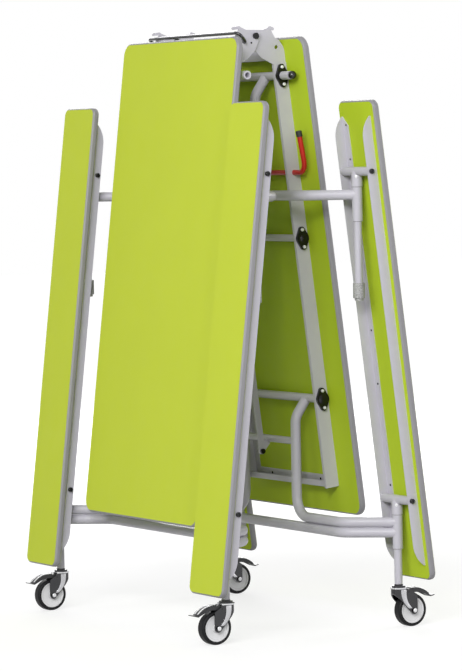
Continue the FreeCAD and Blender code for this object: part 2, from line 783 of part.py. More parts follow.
def upright_frame(side, kind):
    """A welded tube frame: two legs, two cranked side tubes and the axle they carry."""
    outer = []
    bores = []
    tube = size("tube_diameter / 2")
    wall = size("tube_wall")
    leg = size("leg_spread")
    lower = size("lower_tube_diameter / 2")
    stem_bore = size("stem_radius + running_clearance")
    set_back = -size("tube_set_back")
    axle_x = -size("leg_inset")
    axle_z = size("pivot_rise")
    axle = size("axle_diameter / 2")
    foot = lower_tube_end(kind)
    sleeve = -size("sleeve_drop")

    def bend(points, radii):
        outer.append(bent_rod(points, radii, tube))
        bores.append(bent_rod(points, radii, tube - wall))

    for place in (-1, 1):
        y = place * leg
        centre = place * size("bench_spread")
        reach = size("rail_spread - rail_sheet - clearance")
        outer.append(across(0, 0, centre - reach, centre + reach, size("head_tube_diameter / 2")))
        bores.append(across(0, 0, centre - reach, centre + reach, size("bench_bolt_radius")))
        outer.append(rod(Vector(0, y, 0), Vector(0, y, -size("socket_drop")), size("socket_diameter / 2")))
        outer.append(rod(Vector(0, y, 0), Vector(0, y, sleeve), tube))
        bores.append(rod(Vector(0, y, -size("head_tube_diameter")), Vector(0, y, sleeve + wall), tube - wall))
        outer.append(rod(Vector(0, y, sleeve + wall), Vector(0, y, foot), lower))
        bores.append(rod(Vector(0, y, sleeve + wall), Vector(0, y, foot), stem_bore))
        drop = -size("side_tube_drop")
        top = Vector(axle_x, place * size("upright_spread"), axle_z)
        kink = Vector(set_back, place * size("upright_spread"), size("upright_height"))
        end = top - (top - kink).normalize() * (axle / 2)
        bend([Vector(0, y, drop), Vector(set_back, place * size("tube_turn_spread"), drop),
              Vector(set_back, place * size("upright_spread"), drop), kink, end],
             [size("plan_bend"), size("upright_bend"), size("upright_bend")])
    if kind == "caster":
        drop = -size("cross_tube_drop")
        turn = size("tube_turn_spread")
        bend([Vector(0, -leg, drop), Vector(set_back, -turn, drop), Vector(set_back, turn, drop),
              Vector(0, leg, drop)], [size("plan_bend"), size("plan_bend")])
        near = far = size("channel_spread + " + CLOSED_BORE)
    else:
        near = size("channel_spread + stub_length")
        far = size("channel_spread + open_stub_length")
    outer.append(across(axle_x, axle_z, -near, far, axle))
    bores.append(across(axle_x, axle_z, -near, far, axle - size("axle_wall")))
    rise = size("spreader_height")
    spread = size("upright_spread")
    spreader = size("spreader_diameter / 2")
    outer.append(across(set_back, rise, -spread, spread, spreader))
    bores.append(across(set_back, rise, -spread, spread, spreader - wall))
    shape = joined(outer).cut(bores[0].multiFuse(bores[1:]))
    shape = joined([shape, link_tab(rise)])
    keep_shape(shape, "%s_%s_frame" % (side, kind), leg_frame(side, kind))


def lower_tube_end(kind):
    """How far below the bench pivot a leg's lower tube ends."""
    if kind == "caster":
        return size("fork_top + collar_height + clearance") - leg_origin("caster").z
    return glide_bottom() + size("sole_height + glide_wall")


def glide_bottom():
    """A glide's sole, seen from the inner frame's bench pivot, when the table is open."""
    return size("floor_gap") - leg_origin("caster").z


def link_tab(rise):
    """The plate on the spreader that the link bar is bolted to."""
    start = Vector(-size("tube_set_back"), rise, 0)
    end = Vector(-size("link_set_back"), size("link_height"), 0)
    run = (end - start).normalize()
    side = Vector(-run.y, run.x, 0)
    wide = size("spreader_diameter / 2")
    narrow = size("link_width / 2")
    begin = start + run * wide * 0.9
    corners = [begin + side * wide, end + side * narrow, end + run * narrow, end - side * narrow,
               begin - side * wide]
    edges = [Part.LineSegment(corners[0], corners[1]).toShape(),
             Part.Arc(corners[1], corners[2], corners[3]).toShape(),
             Part.LineSegment(corners[3], corners[4]).toShape(),
             Part.LineSegment(corners[4], corners[0]).toShape()]
    plate = Part.Face(Part.Wire(edges)).extrude(Vector(0, 0, size("link_thickness")))
    hole = Part.makeCylinder(size("link_bolt_radius"), size("link_thickness"), end)
    plate = plate.cut(hole)
    plate.rotate(Vector(0, 0, 0), Vector(1, 0, 0), 90)
    plate.translate(Vector(0, size("link_thickness * 1.5 + clearance"), 0))
    return plate


def frame_bolts(side, kind):
    """Bench pivot bolts in the ends of the head tubes, and the link bar's bolt."""
    shapes = []
    shank = size("bench_bolt_radius")
    head = size("bench_head_radius")
    tall = size("bench_head_height")
    depth = size("bench_bolt_depth")
    gap = size("clearance")
    for place in (-1, 1):
        for rail in (-1, 1):
            face = place * size("bench_spread") + rail * size("rail_spread")
            shapes.append(joined([across(0, 0, face - rail * depth, face + rail * gap, shank),
                                  across(0, 0, face + rail * gap, face + rail * (gap + tall), head)]))
    x = -size("link_set_back")
    z = size("link_height")
    half = size("link_thickness / 2")
    back = size("link_thickness * 1.5 + clearance")
    shapes.append(joined([
        across(x, z, -half - gap, back, size("link_bolt_radius")),
        across(x, z, -half - gap - tall, -half - gap, size("link_head_radius")),
        across(x, z, back, back + tall, size("link_head_radius"))]))
    keep_shape(Part.Compound(shapes), "%s_%s_frame_bolts" % (side, kind), leg_frame(side, kind))


def glides(side):
    """The two feet of an inner frame: a plastic sleeve with a harder sole."""
    shapes = []
    bottom = glide_bottom()
    sole_top = bottom + size("sole_height")
    tube_end = lower_tube_end("glide")
    for place in (-1, 1):
        y = place * size("leg_spread")
        sleeve = rod(Vector(0, y, sole_top), Vector(0, y, sole_top + size("glide_height")),
                     size("glide_diameter / 2"))
        socket = rod(Vector(0, y, tube_end), Vector(0, y, sole_top + size("glide_height")),
                     size("lower_tube_diameter / 2"))
        sole = rod(Vector(0, y, bottom), Vector(0, y, sole_top), size("sole_diameter / 2"))
        shapes.append(joined([sleeve.cut(socket), sole]))
    keep_shape(Part.Compound(shapes), side + "_glides", leg_frame(side, "glide"))


def axle_cap(side):
    """The ball-shaped plug in the short end of the inner frame's axle."""
    end = -size("channel_spread + stub_length")
    radius = size("axle_cap_radius")
    x = -size("leg_inset")
    z = size("pivot_rise")
    bore = size("axle_diameter / 2 - axle_wall")
    ball = Part.makeSphere(radius, Vector(x, end - radius * 0.8, z))
    plug = across(x, z, end + radius, end - radius * 0.5, bore)
    keep_shape(joined([ball, plug]), side + "_axle_cap", leg_frame(side, "glide"))


def link_bar(side):
    """The flat bar that keeps a side's two frames parallel."""
    body = new_body(side + "_link_body")
    sketch = new_sketch(body, "XZ_Plane", "0 - link_thickness / 2")
    length = size("pivot_spacing")
    rounded_slot(sketch, Vector(0, 0, 0), Vector(length, 0, 0), size("link_width / 2"))
    pad(sketch, "link_thickness")
    holes = new_sketch(body, "XZ_Plane", "0 - link_thickness")
    circle(holes, "0", "0", "link_bolt_radius + clearance")
    circle(holes, "pivot_spacing", "0", "link_bolt_radius + running_clearance")
    pocket(holes, "2 * link_thickness", backwards=True)
    offset = axis_point("0 - link_set_back", "0", "link_height")
    frame = turned(side).multiply(Placement(leg_origin("glide") + offset, tilt()))
    keep(body, side + "_link_bar", frame)


# ---------------------------------------------------------------- benches

def bench_rails(label, placement):
    """Two boat-ended rails under a seat, each a web with an inward flange."""
    body = new_body(label + "_body")
    length = size("bench_length")
    top = -size("board_thickness")
    low = top - size("rail_depth")
    blunt = top - size("rail_blunt")
    start = size("rail_margin")
    taper = size("rail_taper")
    radius = (taper ** 2 + (blunt - low) ** 2) / (2 * (blunt - low))
    turn = math.asin(taper / radius) / 2
    web = new_sketch(body, "XZ_Plane", "0 - rail_spread")

    def arc_middle(x, side):
        return Vector(x + side * radius * math.sin(turn), low + radius - radius * math.cos(turn), 0)

    left = start + taper
    right = length - start - taper
    end = length - start
    web.addGeometry(Part.LineSegment(Vector(start, top, 0), Vector(end, top, 0)))
    web.addGeometry(Part.LineSegment(Vector(end, top, 0), Vector(end, blunt, 0)))
    web.addGeometry(Part.Arc(Vector(end, blunt, 0), arc_middle(right, 1), Vector(right, low, 0)))
    web.addGeometry(Part.LineSegment(Vector(right, low, 0), Vector(left, low, 0)))
    web.addGeometry(Part.Arc(Vector(left, low, 0), arc_middle(left, -1), Vector(start, blunt, 0)))
    web.addGeometry(Part.LineSegment(Vector(start, blunt, 0), Vector(start, top, 0)))
    plate = pad(web, "rail_sheet")
    flange = new_sketch(body, "XY_Plane", "0 - board_thickness")
    inner_edge = "rail_spread - rail_flange"
    outer_edge = "rail_spread - rail_sheet / 2"
    polygon(flange, [("rail_margin", outer_edge),
                     ("rail_margin + rail_flange", inner_edge),
                     ("bench_length - rail_margin - rail_flange", inner_edge),
                     ("bench_length - rail_margin", outer_edge)])
    lip = pad(flange, "rail_sheet", backwards=True)
    holes = new_sketch(body, "XZ_Plane", "0 - rail_spread - rail_sheet")
    for place in ("bench_pivot_inner", "bench_pivot_inner + pivot_spacing"):
        circle(holes, place, "0 - bench_pivot_drop", "bench_bolt_radius + running_clearance")
    bored = pocket(holes, "3 * rail_sheet", backwards=True)
    mirror(body, [plate, lip, bored])
    keep(body, label, placement)


def bench(side, place):
    name = place_name(side, place) + "_seat"
    frame = bench_frame(side, place)
    board(name, frame, "bench_length", "bench_width / 2", "board_thickness", "bench_corner",
          "bench_edging_width")
    edging(name + "_edging", frame, "bench_length", "bench_width / 2", "board_thickness",
           "bench_corner", "bench_edging_width")
    bench_rails(name + "_rails", frame)


# ---------------------------------------------------------------- casters

def caster_fork(label, placement):
    """A pressed fork bent round its front, with swivel head, stem and axle bolt."""
    body = new_body(label + "_body")
    half = size("fork_width / 2")
    back = size("caster_trail + fork_rear")
    top = size("fork_top")
    sheet_metal = size("fork_sheet")
    plan = new_sketch(body, "XY_Plane", "wheel_diameter / 2 - fork_rear")
    u_outline(plan, half, back, half)
    pad(plan, "fork_top - wheel_diameter / 2 + fork_rear")
    inner = new_sketch(body, "XY_Plane", "fork_top - fork_sheet")
    u_outline(inner, half - sheet_metal, back + sheet_metal, half - sheet_metal)
    pocket(inner, "fork_top")
    waste = new_sketch(body, "XZ_Plane", "fork_width")
    waste_outline(waste, half, back, top)
    pocket(waste, "2 * fork_width")
    slope = new_sketch(body, "XZ_Plane", "fork_width")
    polygon(slope, [("fork_slope_start", "fork_top"),
                    ("caster_trail + fork_rear", "fork_top - fork_slope"),
                    ("caster_trail + 2 * fork_rear", "fork_top - fork_slope"),
                    ("caster_trail + 2 * fork_rear", "fork_top + fork_sheet"),
                    ("fork_slope_start", "fork_top + fork_sheet")])
    pocket(slope, "2 * fork_width")
    fork = body.Shape
    head = size("head_radius")
    collar = size("collar_height")
    radius = size("wheel_axle_radius")
    x = size("caster_trail")
    z = size("wheel_diameter / 2")
    nut = size("axle_nut_height")
    pin = (size("pedal_pivot_place"), size("fork_top - pedal_pivot_drop"))
    parts = [fork,
             Part.makeCylinder(head, collar * 0.35, Vector(0, 0, top)),
             Part.makeCylinder(head * 0.8, collar * 0.35, Vector(0, 0, top + collar * 0.35)),
             Part.makeCylinder(head * 0.52, collar * 0.3, Vector(0, 0, top + collar * 0.7)),
             Part.makeCylinder(size("stem_radius"), collar + size("stem_length"), Vector(0, 0, top)),
             across(pin[0], pin[1], -half - 1, half + 1, size("pedal_pin_radius")),
             across(x, z, -half - nut, half + nut, radius),
             across(x, z, -half - nut, -half, size("axle_nut_radius")),
             across(x, z, half, half + nut, size("axle_nut_radius"))]
    doc.removeObject(body.Name)
    keep_shape(joined(parts), label, placement)


def u_outline(sketch, half, back, radius):
    """A plan with a half-round front about the origin and straight sides to the back."""
    sketch.addGeometry(Part.Arc(Vector(0, half, 0), Vector(-radius, 0, 0), Vector(0, -half, 0)))
    sketch.addGeometry(Part.LineSegment(Vector(0, -half, 0), Vector(back, -half, 0)))
    sketch.addGeometry(Part.LineSegment(Vector(back, -half, 0), Vector(back, half, 0)))
    sketch.addGeometry(Part.LineSegment(Vector(back, half, 0), Vector(0, half, 0)))


def waste_outline(sketch, half, back, top):
    """What is cut away below the fork's slanting front edge, down to its round axle ends."""
    x = size("caster_trail")
    z = size("wheel_diameter / 2")
    radius = size("fork_rear")
    shoulder = top - size("fork_front_depth")
    edge = Vector(-half, shoulder, 0)
    reach = Vector(x, z, 0) - edge
    lean = math.atan2(reach.y, reach.x) - math.asin(radius / reach.Length)

    def on_end(angle):
        return Vector(x + radius * math.sin(angle), z - radius * math.cos(angle), 0)

    floor = z - 2 * radius
    corners = [Vector(back, z, 0), Vector(2 * back, z, 0), Vector(2 * back, floor, 0),
               Vector(-2 * half, floor, 0), Vector(-2 * half, shoulder, 0), edge, on_end(lean)]
    for start, end in zip(corners, corners[1:]):
        sketch.addGeometry(Part.LineSegment(start, end))
    sketch.addGeometry(Part.Arc(on_end(lean), on_end((lean + math.pi / 2) / 2), on_end(math.pi / 2)))


def caster_hub(label, placement):
    """The wheel's centre, with a raised rim and boss."""
    body = new_body(label + "_body")
    sketch = new_sketch(body, "YZ_Plane")
    face = "hub_width / 2"
    web = "hub_width / 2 - 2.5"
    boss = "wheel_axle_radius * 2.4"
    rim = "hub_diameter / 2 - 5"
    bore = "wheel_axle_radius + running_clearance"
    edge = "hub_diameter / 2"
    polygon(sketch, [("0 - (%s)" % face, bore), (face, bore), (face, boss), (web, boss), (web, rim),
                     (face, rim), (face, edge), ("0 - (%s)" % face, edge), ("0 - (%s)" % face, rim),
                     ("0 - (%s)" % web, rim), ("0 - (%s)" % web, boss), ("0 - (%s)" % face, boss)])
    revolve(sketch, "H_Axis")
    keep(body, label, placement)


def caster_tyre(label, placement):
    """The tread, a ring with rounded shoulders around the hub."""
    body = new_body(label + "_body")
    sketch = new_sketch(body, "YZ_Plane")
    rectangle(sketch, "0 - wheel_width / 2", "hub_diameter / 2", "wheel_width / 2", "wheel_diameter / 2")
    ring = revolve(sketch, "H_Axis")
    radius = size("wheel_diameter / 2")
    width = size("wheel_width / 2")

    def on_shoulder(edge):
        return abs(edge.BoundBox.ZMax - radius) < 1e-3 and abs(abs(edge.BoundBox.Center.y) - width) < 1e-3

    fillet(ring, "wheel_width / 5", on_shoulder)
    keep(body, label, placement)


# Corners of the brake pedal's side as distances from its pin: outwards, and up.
PEDAL_TOP = [(0, 6), (7, 9.5), (42, 7.5), (80, -16)]
PEDAL_UNDER = [(80, -20), (58, -9.5), (34, -2.5), (7, -3), (0, -6)]
PEDAL_LIP = [(80, -16), (94, -14), (94, -16.5), (80, -20)]


def from_pin(corners, drop="0"):
    """Expressions for corners of the pedal, lowered by a further length."""
    return [("pedal_pivot_place + (%s)" % along, "fork_top - pedal_pivot_drop + (%s) - %s" % (up, drop))
            for along, up in corners]


def caster_pedal(label, placement):
    """A channel-shaped brake pedal over the wheel, rolled round its pin, with a lip to tread on."""
    body = new_body(label + "_body")
    side_view = new_sketch(body, "XZ_Plane", "pedal_width / 2")
    polygon(side_view, from_pin(PEDAL_TOP + PEDAL_UNDER))
    pad(side_view, "pedal_width", backwards=True)
    hollow = new_sketch(body, "XZ_Plane", "pedal_width / 2 - pedal_sheet")
    below = [(80, -30), (0, -30)]
    polygon(hollow, from_pin(PEDAL_TOP, "pedal_sheet * 1.2") + from_pin(below))
    pocket(hollow, "pedal_width - 2 * pedal_sheet")
    lip = new_sketch(body, "XZ_Plane", "pedal_width / 2")
    polygon(lip, from_pin(PEDAL_LIP))
    pad(lip, "pedal_width", backwards=True)
    roll = new_sketch(body, "XZ_Plane", "pedal_width / 2")
    circle(roll, "pedal_pivot_place", "fork_top - pedal_pivot_drop", "pedal_barrel_radius")
    pad(roll, "pedal_width", backwards=True)
    bore = new_sketch(body, "XZ_Plane", "pedal_width")
    circle(bore, "pedal_pivot_place", "fork_top - pedal_pivot_drop", "pedal_pin_radius + running_clearance")
    pocket(bore, "2 * pedal_width")
    keep(body, label, placement)


def caster(side, place):
    name = place_name(side, place) + "_caster"
    frame = caster_frame(side, place)
    hub = frame.multiply(Placement(axis_point("caster_trail", "0", "wheel_diameter / 2"), Rotation()))
    caster_fork(name + "_fork", frame)
    caster_hub(name + "_hub", hub)
    caster_tyre(name + "_tyre", hub)
    caster_pedal(name + "_pedal", frame)


# ---------------------------------------------------------------- the whole table

def write_parts():
    """Check every object, then export one file per sub-part."""
    doc.recompute()
    for item in doc.Objects:
        if "Invalid" in item.State or "Error" in item.State:
            raise RuntimeError("%s did not compute" % item.Label)
    os.makedirs("parts", exist_ok=True)
    for label, thing in subparts.items():
        if thing.Shape.isNull() or not thing.Shape.isValid():
            raise RuntimeError("%s has no valid shape" % label)
        thing.Shape.exportStep("parts/%s.step" % label)


def table_half(side):
    frame = table_frame(side)
    for make, label in ((board, "top"), (edging, "edging")):
        make("%s_table_%s" % (side, label), frame, "table_length", "table_width / 2",
             "board_thickness", "table_corner", "edging_width")
    table_subframe(side)
    hinge_bracket(side)
    bearings(side)
    bearing_bolts(side)
    torsion_tube(side)


for side in ("right", "left"):
    table_half(side)
    for kind in ("caster", "glide"):
        upright_frame(side, kind)
        frame_bolts(side, kind)
    glides(side)
    axle_cap(side)
    link_bar(side)
    for place in (-1, 1):
        bench(side, place)
        caster(side, place)
hinge_bolts()
latch_lever()
lock_bail()
write_parts()
print(len(subparts), "sub-parts")
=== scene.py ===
"""The folded table as photographed: materials, small fasteners, light and camera.

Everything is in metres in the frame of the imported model. The left half is the right
half turned half way round the vertical, so places are worked out for the right one.
"""
import json
import math

import bmesh
import bpy
from mathutils import Matrix, Vector


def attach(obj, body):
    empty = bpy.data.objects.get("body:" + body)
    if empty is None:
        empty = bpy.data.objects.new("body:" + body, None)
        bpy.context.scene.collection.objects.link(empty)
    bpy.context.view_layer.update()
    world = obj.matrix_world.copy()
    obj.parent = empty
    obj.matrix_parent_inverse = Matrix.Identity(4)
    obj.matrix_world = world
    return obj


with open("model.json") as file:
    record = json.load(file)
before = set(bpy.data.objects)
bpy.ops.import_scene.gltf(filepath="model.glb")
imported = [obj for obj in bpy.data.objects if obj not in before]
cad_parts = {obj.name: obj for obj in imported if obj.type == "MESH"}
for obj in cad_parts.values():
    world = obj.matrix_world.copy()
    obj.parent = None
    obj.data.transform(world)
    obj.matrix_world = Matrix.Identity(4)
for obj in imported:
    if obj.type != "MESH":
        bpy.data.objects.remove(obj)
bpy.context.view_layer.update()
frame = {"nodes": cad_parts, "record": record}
nodes = frame["nodes"]
record = frame["record"]
joints = {joint["name"]: Vector(joint["pos_m"]) for joint in record["behaviour"]["joints"]}


# ---------------------------------------------------------------- sizes

# The model's top: places along a half from its hinged end, across it and below its upper face
FOLD = math.radians(83)
HINGE_GAP = 0.0175
HINGE_DROP = 0.1208
BOARD = 0.022
SHEET = 0.0025
CHANNEL_SPREAD = 0.248
CHANNEL_END = 1.394
INNER_CROSS = 0.066
HINGE_PLATE = 0.004
PIVOT_PLACES = (0.1138, 0.616, 1.1174)
PIVOT_DROP = 0.0447
BEARING_STANDOFF = 0.009
BEARING_FACE = CHANNEL_SPREAD + BEARING_STANDOFF
BEARING_FLANGE = 0.004
BEARING_BOLT_SPREAD = 0.0265

# The model's frames and benches
LEG_INSET = 0.0888
LEG_SPREAD = 0.53
LEG_SOCKET_RADIUS = 0.017
PIVOT_RISE = 0.2955
BENCH_SPREAD = 0.533
BENCH_PIVOT_INNER = 0.2113
BENCH_PIVOT_DROP = 0.0429
RAIL_SPREAD = 0.079
CLEARANCE = 0.0003
BOLT_REACH = 0.006

# The model's casters
FORK_TOP = 0.117
FORK_HALF = 0.024
SWIVEL_RIM = 0.1172
SWIVEL_COVER = 0.1215
TRAIL = 0.04
AXLE_NUT = 0.005
AXLE_CAP_SINK = 0.0002
WHEEL_RADIUS = 0.05
WHEEL_PLACE = 0.3426

# Where the screws and rivets sit
RAIL_SCREWS = (0.073, 0.177, 0.45, 0.7, 0.865, 1.178, 1.39)
RAIL_SCREW_INSET = 0.018
CHANNEL_SCREWS = (0.24, 0.5, 0.76, 1.0, 1.26)
CHANNEL_SCREW_INSET = 0.018
CROSS_SCREWS = (-0.147, 0.147)
CROSS_SCREW_INSET = 0.0168
RIVET_PLACE = (0.0227, 0.0116)
LEG_SCREW_DROP = 0.016
LEG_SCREW_SINK = 0.0005
LEG_SCREW_SIDE = (-0.632, -0.775)

# Radius and height of each kind of head
RAIL_SCREW = (0.0035, 0.0014)
TABLE_SCREW = (0.0038, 0.0014)
BEARING_BOLT = (0.0045, 0.0018)
HINGE_RIVET = (0.003, 0.0012)
PIVOT_BOLT = (0.0075, 0.0024)
LEG_SCREW = (0.005, 0.0024)
AXLE_CAP = (0.0065, 0.002)

# Edges of the pieces made here stay sharp from this angle up
SHARP_EDGE = math.radians(40)

# The shape of a head: its rim and flat as shares of its height and radius, and its socket
HEAD_SIDES = 24
HEAD_STEPS = 5
HEAD_RIM_SHARE = 0.25
HEAD_FLAT_SHARE = 0.42
SOCKET_SHARE = 0.42
RIVET_SOCKET_SHARE = 0.2
CAP_SOCKET_SHARE = 0.3
SOCKET_DEPTH_SHARE = 0.8

# Dark rings where the leg tubes meet, painted shade for the shadow in the gaps between the
# telescoping tubes: (drop below the bench pivot, radius)
LEG_SEAM_SHADOWS = ((0.046, 0.0154), (0.15, 0.0122))
SEAM_SHADOW_HEIGHT = 0.0012
SEAM_SHADOW_PROUD = 0.0006

# A raised strip down a fork's side, in bright metal as a painted highlight on the fork's rounded
# front: (distance from the swivel, height) along its middle
RIB_CURVE = ((0.004, FORK_TOP - 0.0015), (0.0, 0.08), (0.027, 0.057))
RIB_TOP_HALF = 0.0095
RIB_FOOT_HALF = 0.006
RIB_HEIGHT = 0.0014
RIB_ROOT = 0.0005
RIB_STEPS = 20
RIB_CROSSING = 8
RIB_EASE = 8

# A brake pedal: (distance from the swivel, height) along its rounded back and its bent sheet
PEDAL_CURVE = ((0.038, 0.1175), (0.076, 0.121), (0.103, 0.0932))
PEDAL_SHEET = ((0.031, 0.1165), (0.066, 0.1145), (0.104, 0.091))
PEDAL_SHEET_SINK = 0.0006
PEDAL_HALF = 0.0168
PEDAL_CROWN = 0.0012
PEDAL_END_SHARE = 0.7
PEDAL_RIB_HALF = 0.0034
PEDAL_RIB_PLACE = 0.009
PEDAL_RIB_RISE = 0.0012
PEDAL_RIB_BASE = PEDAL_CROWN - 0.0004
PEDAL_RIB_SPAN = (0.25, 0.98)
PEDAL_STEPS = 24
PEDAL_CROSSING = 10
PEDAL_EASE = 7


# ---------------------------------------------------------------- node materials

BROAD_SCALE = 6.0
BROAD_DETAIL = 4
FINE_DETAIL = 3
ROUGHNESS_SCALE = 24.0
ROUGHNESS_DETAIL = 5
ROUGHNESS_SPREAD = 0.12
COAT_ROUGHNESS = 0.12
WHITE = (1.0, 1.0, 1.0)
RIM_COLOUR = (0.62, 0.62, 0.64)
COVER_COLOUR = (0.02, 0.02, 0.024)
# Painted shade on faces that point downwards: the share of each colour channel kept there, the
# facing below which it starts, and how softly
UNDERSIDE_PAINTED_SHADE = (0.87, 0.96, 0.6)
UNDERSIDE_FACING = -0.08
UNDERSIDE_SOFTNESS = 0.02
# Thin darker rings on the wheel's centre: (radius, share of the colour kept), fading out between
# the two distances below
WHEEL_DARK_RINGS = ((0.0135, 0.8), (0.0335, 0.86))
DARK_RING_CORE = 0.0004
DARK_RING_EDGE = 0.0014


class Graph:
    """A material's node tree, with short calls for the nodes used here."""

    def __init__(self, name):
        self.name = name
        self.material = bpy.data.materials.new(name)
        self.material.use_nodes = True
        self.tree = self.material.node_tree
        self.shader = self.tree.nodes["Principled BSDF"]
        source = self.tree.nodes.new("ShaderNodeTexCoord")
        self.place = source.outputs["Object"]
        self.facing = source.outputs["Normal"]

    def node(self, kind, **settings):
        made = self.tree.nodes.new(kind)
        for key, value in settings.items():
            setattr(made, key, value)
        return made

    def link(self, start, end):
        self.tree.links.new(start, end)

    def fill(self, socket, value):
        """Give a socket a number, a colour or another node's output."""
        if isinstance(value, tuple):
            socket.default_value = (*value, 1)
        elif isinstance(value, (int, float)):
            socket.default_value = value
        else:
            self.link(value, socket)

    def noise(self, scale, detail, stretch=(1, 1, 1)):
        spread = self.node("ShaderNodeMapping")
        spread.inputs["Scale"].default_value = stretch
        self.link(self.place, spread.inputs["Vector"])
        made = self.node("ShaderNodeTexNoise")
        made.inputs["Scale"].default_value = scale
        made.inputs["Detail"].default_value = detail
        self.link(spread.outputs["Vector"], made.inputs["Vector"])
        return made.outputs["Fac"]

    def between(self, value, low, high, start=0.3, end=0.7):
        """Map a range of a value, by default a noise's middle, onto two numbers."""
        made = self.node("ShaderNodeMapRange")
        made.inputs["From Min"].default_value = start
        made.inputs["From Max"].default_value = end
        made.inputs["To Min"].default_value = low
        made.inputs["To Max"].default_value = high
        self.link(value, made.inputs["Value"])
        return made.outputs["Result"]

    def mixed(self, value, first, second, blend="MIX"):
        """A colour between two others, each a plain colour or another node's output."""
        made = self.node("ShaderNodeMix", data_type="RGBA", blend_type=blend)
        self.fill(made.inputs["Factor"], value)
        self.fill(made.inputs["A"], first)
        self.fill(made.inputs["B"], second)
        return made.outputs["Result"]

    def times(self, colour, other):
        """Two colours multiplied."""
        return self.mixed(1, colour, other, "MULTIPLY")

    def above(self, axis, level, soft=0.0003, source=None):
        """0 below a level along an axis and 1 above it, by default for the object's places."""
        split = self.node("ShaderNodeSeparateXYZ")
        self.link(source or self.place, split.inputs[0])
        return self.between(split.outputs[axis], 0, 1, level - soft, level + soft)

    def reckon(self, operation, value, other=0):
        """Arithmetic on numbers, each a plain number or another node's output."""
        made = self.node("ShaderNodeMath", operation=operation)
        self.fill(made.inputs[0], value)
        self.fill(made.inputs[1], other)
        return made.outputs[0]

    def bump(self, value, strength, distance):
        made = self.node("ShaderNodeBump")
        made.inputs["Strength"].default_value = strength
        made.inputs["Distance"].default_value = distance
        self.link(value, made.inputs["Height"])
        return made.outputs["Normal"]


def shaded(colour, share):
    return tuple(channel * share for channel in colour)


def finish(name, colour, rough, grain, metal=0.0, variation=0.06, relief=0.05, depth=0.0003,
           stretch=(1, 1, 1), coat=0.0, specular=0.5):
    """Colour and roughness that vary a little over a surface with a fine grain in relief."""
    graph = Graph(name)
    broad = graph.between(graph.noise(BROAD_SCALE, BROAD_DETAIL), 0, 1)
    fine = graph.noise(grain, FINE_DETAIL, stretch)
    patches = graph.noise(ROUGHNESS_SCALE, ROUGHNESS_DETAIL)
    tone = graph.mixed(broad, shaded(colour, 1 - variation / 2), shaded(colour, 1 + variation / 2))
    speck = graph.mixed(graph.between(fine, 0, 1), shaded(WHITE, 1 - variation),
                        shaded(WHITE, 1 + variation / 2))
    graph.colour = graph.times(tone, speck)
    graph.link(graph.colour, graph.shader.inputs["Base Color"])
    graph.link(graph.between(patches, rough * (1 - ROUGHNESS_SPREAD),
                             rough * (1 + ROUGHNESS_SPREAD)), graph.shader.inputs["Roughness"])
    graph.link(graph.bump(fine, relief, depth), graph.shader.inputs["Normal"])
    graph.shader.inputs["Metallic"].default_value = metal
    graph.shader.inputs["Coat Weight"].default_value = coat
    graph.shader.inputs["Coat Roughness"].default_value = COAT_ROUGHNESS
    graph.shader.inputs["Specular IOR Level"].default_value = specular
    return graph


def board_laminate():
    """Lime laminate, with painted shade: a little deeper and greener on faces that point
    downwards, as on a folded board's underside.
    """
    graph = finish("lime_laminate", (0.54, 0.635, 0.05), 0.5, 900, variation=0.02, relief=0.12,
                   depth=0.0002, specular=0.1)
    # Painted shade: faces that point downwards get the deeper, greener underside colour
    upper = graph.above("Z", UNDERSIDE_FACING, UNDERSIDE_SOFTNESS, source=graph.facing)
    shade = graph.mixed(upper, UNDERSIDE_PAINTED_SHADE, WHITE)
    graph.link(graph.times(graph.colour, shade), graph.shader.inputs["Base Color"])
    return graph


def caster_steel():
    """Dark plated steel, with a bright rim under the black cover of the swivel head."""
    graph = finish("caster_chrome", (0.065, 0.065, 0.068), 0.2, 160, metal=1.0, variation=0.08,
                   stretch=(1, 1, 6))
    plated = graph.mixed(graph.above("Z", SWIVEL_RIM), graph.colour, RIM_COLOUR)
    cover = graph.above("Z", SWIVEL_COVER)
    graph.link(graph.mixed(cover, plated, COVER_COLOUR), graph.shader.inputs["Base Color"])
    graph.link(graph.between(cover, 1, 0, 0, 1), graph.shader.inputs["Metallic"])
    return graph


def wheel_centre():
    """Pale moulded plastic, with two thin darker rings round the axle and inside the tyre."""
    graph = finish("wheel_centre", (0.78, 0.78, 0.79), 0.4, 700, variation=0.04)
    split = graph.node("ShaderNodeSeparateXYZ")
    graph.link(graph.place, split.inputs[0])
    along = graph.reckon("ADD", graph.reckon("ABSOLUTE", split.outputs["X"]), -WHEEL_PLACE)
    up = graph.reckon("ADD", split.outputs["Z"], -WHEEL_RADIUS)
    squares = graph.reckon("ADD", graph.reckon("MULTIPLY", along, along),
                           graph.reckon("MULTIPLY", up, up))
    distance = graph.reckon("POWER", squares, 0.5)
    shade = graph.colour
    # Each ring darkens the colour to a share of it, over a thin band round its radius
    for radius, depth in WHEEL_DARK_RINGS:
        off = graph.reckon("ABSOLUTE", graph.reckon("ADD", distance, -radius))
        flank = graph.between(off, 0, 1, DARK_RING_CORE, DARK_RING_EDGE)
        shade = graph.times(shade, graph.mixed(flank, shaded(WHITE, depth), WHITE))
    graph.link(shade, graph.shader.inputs["Base Color"])
    return graph


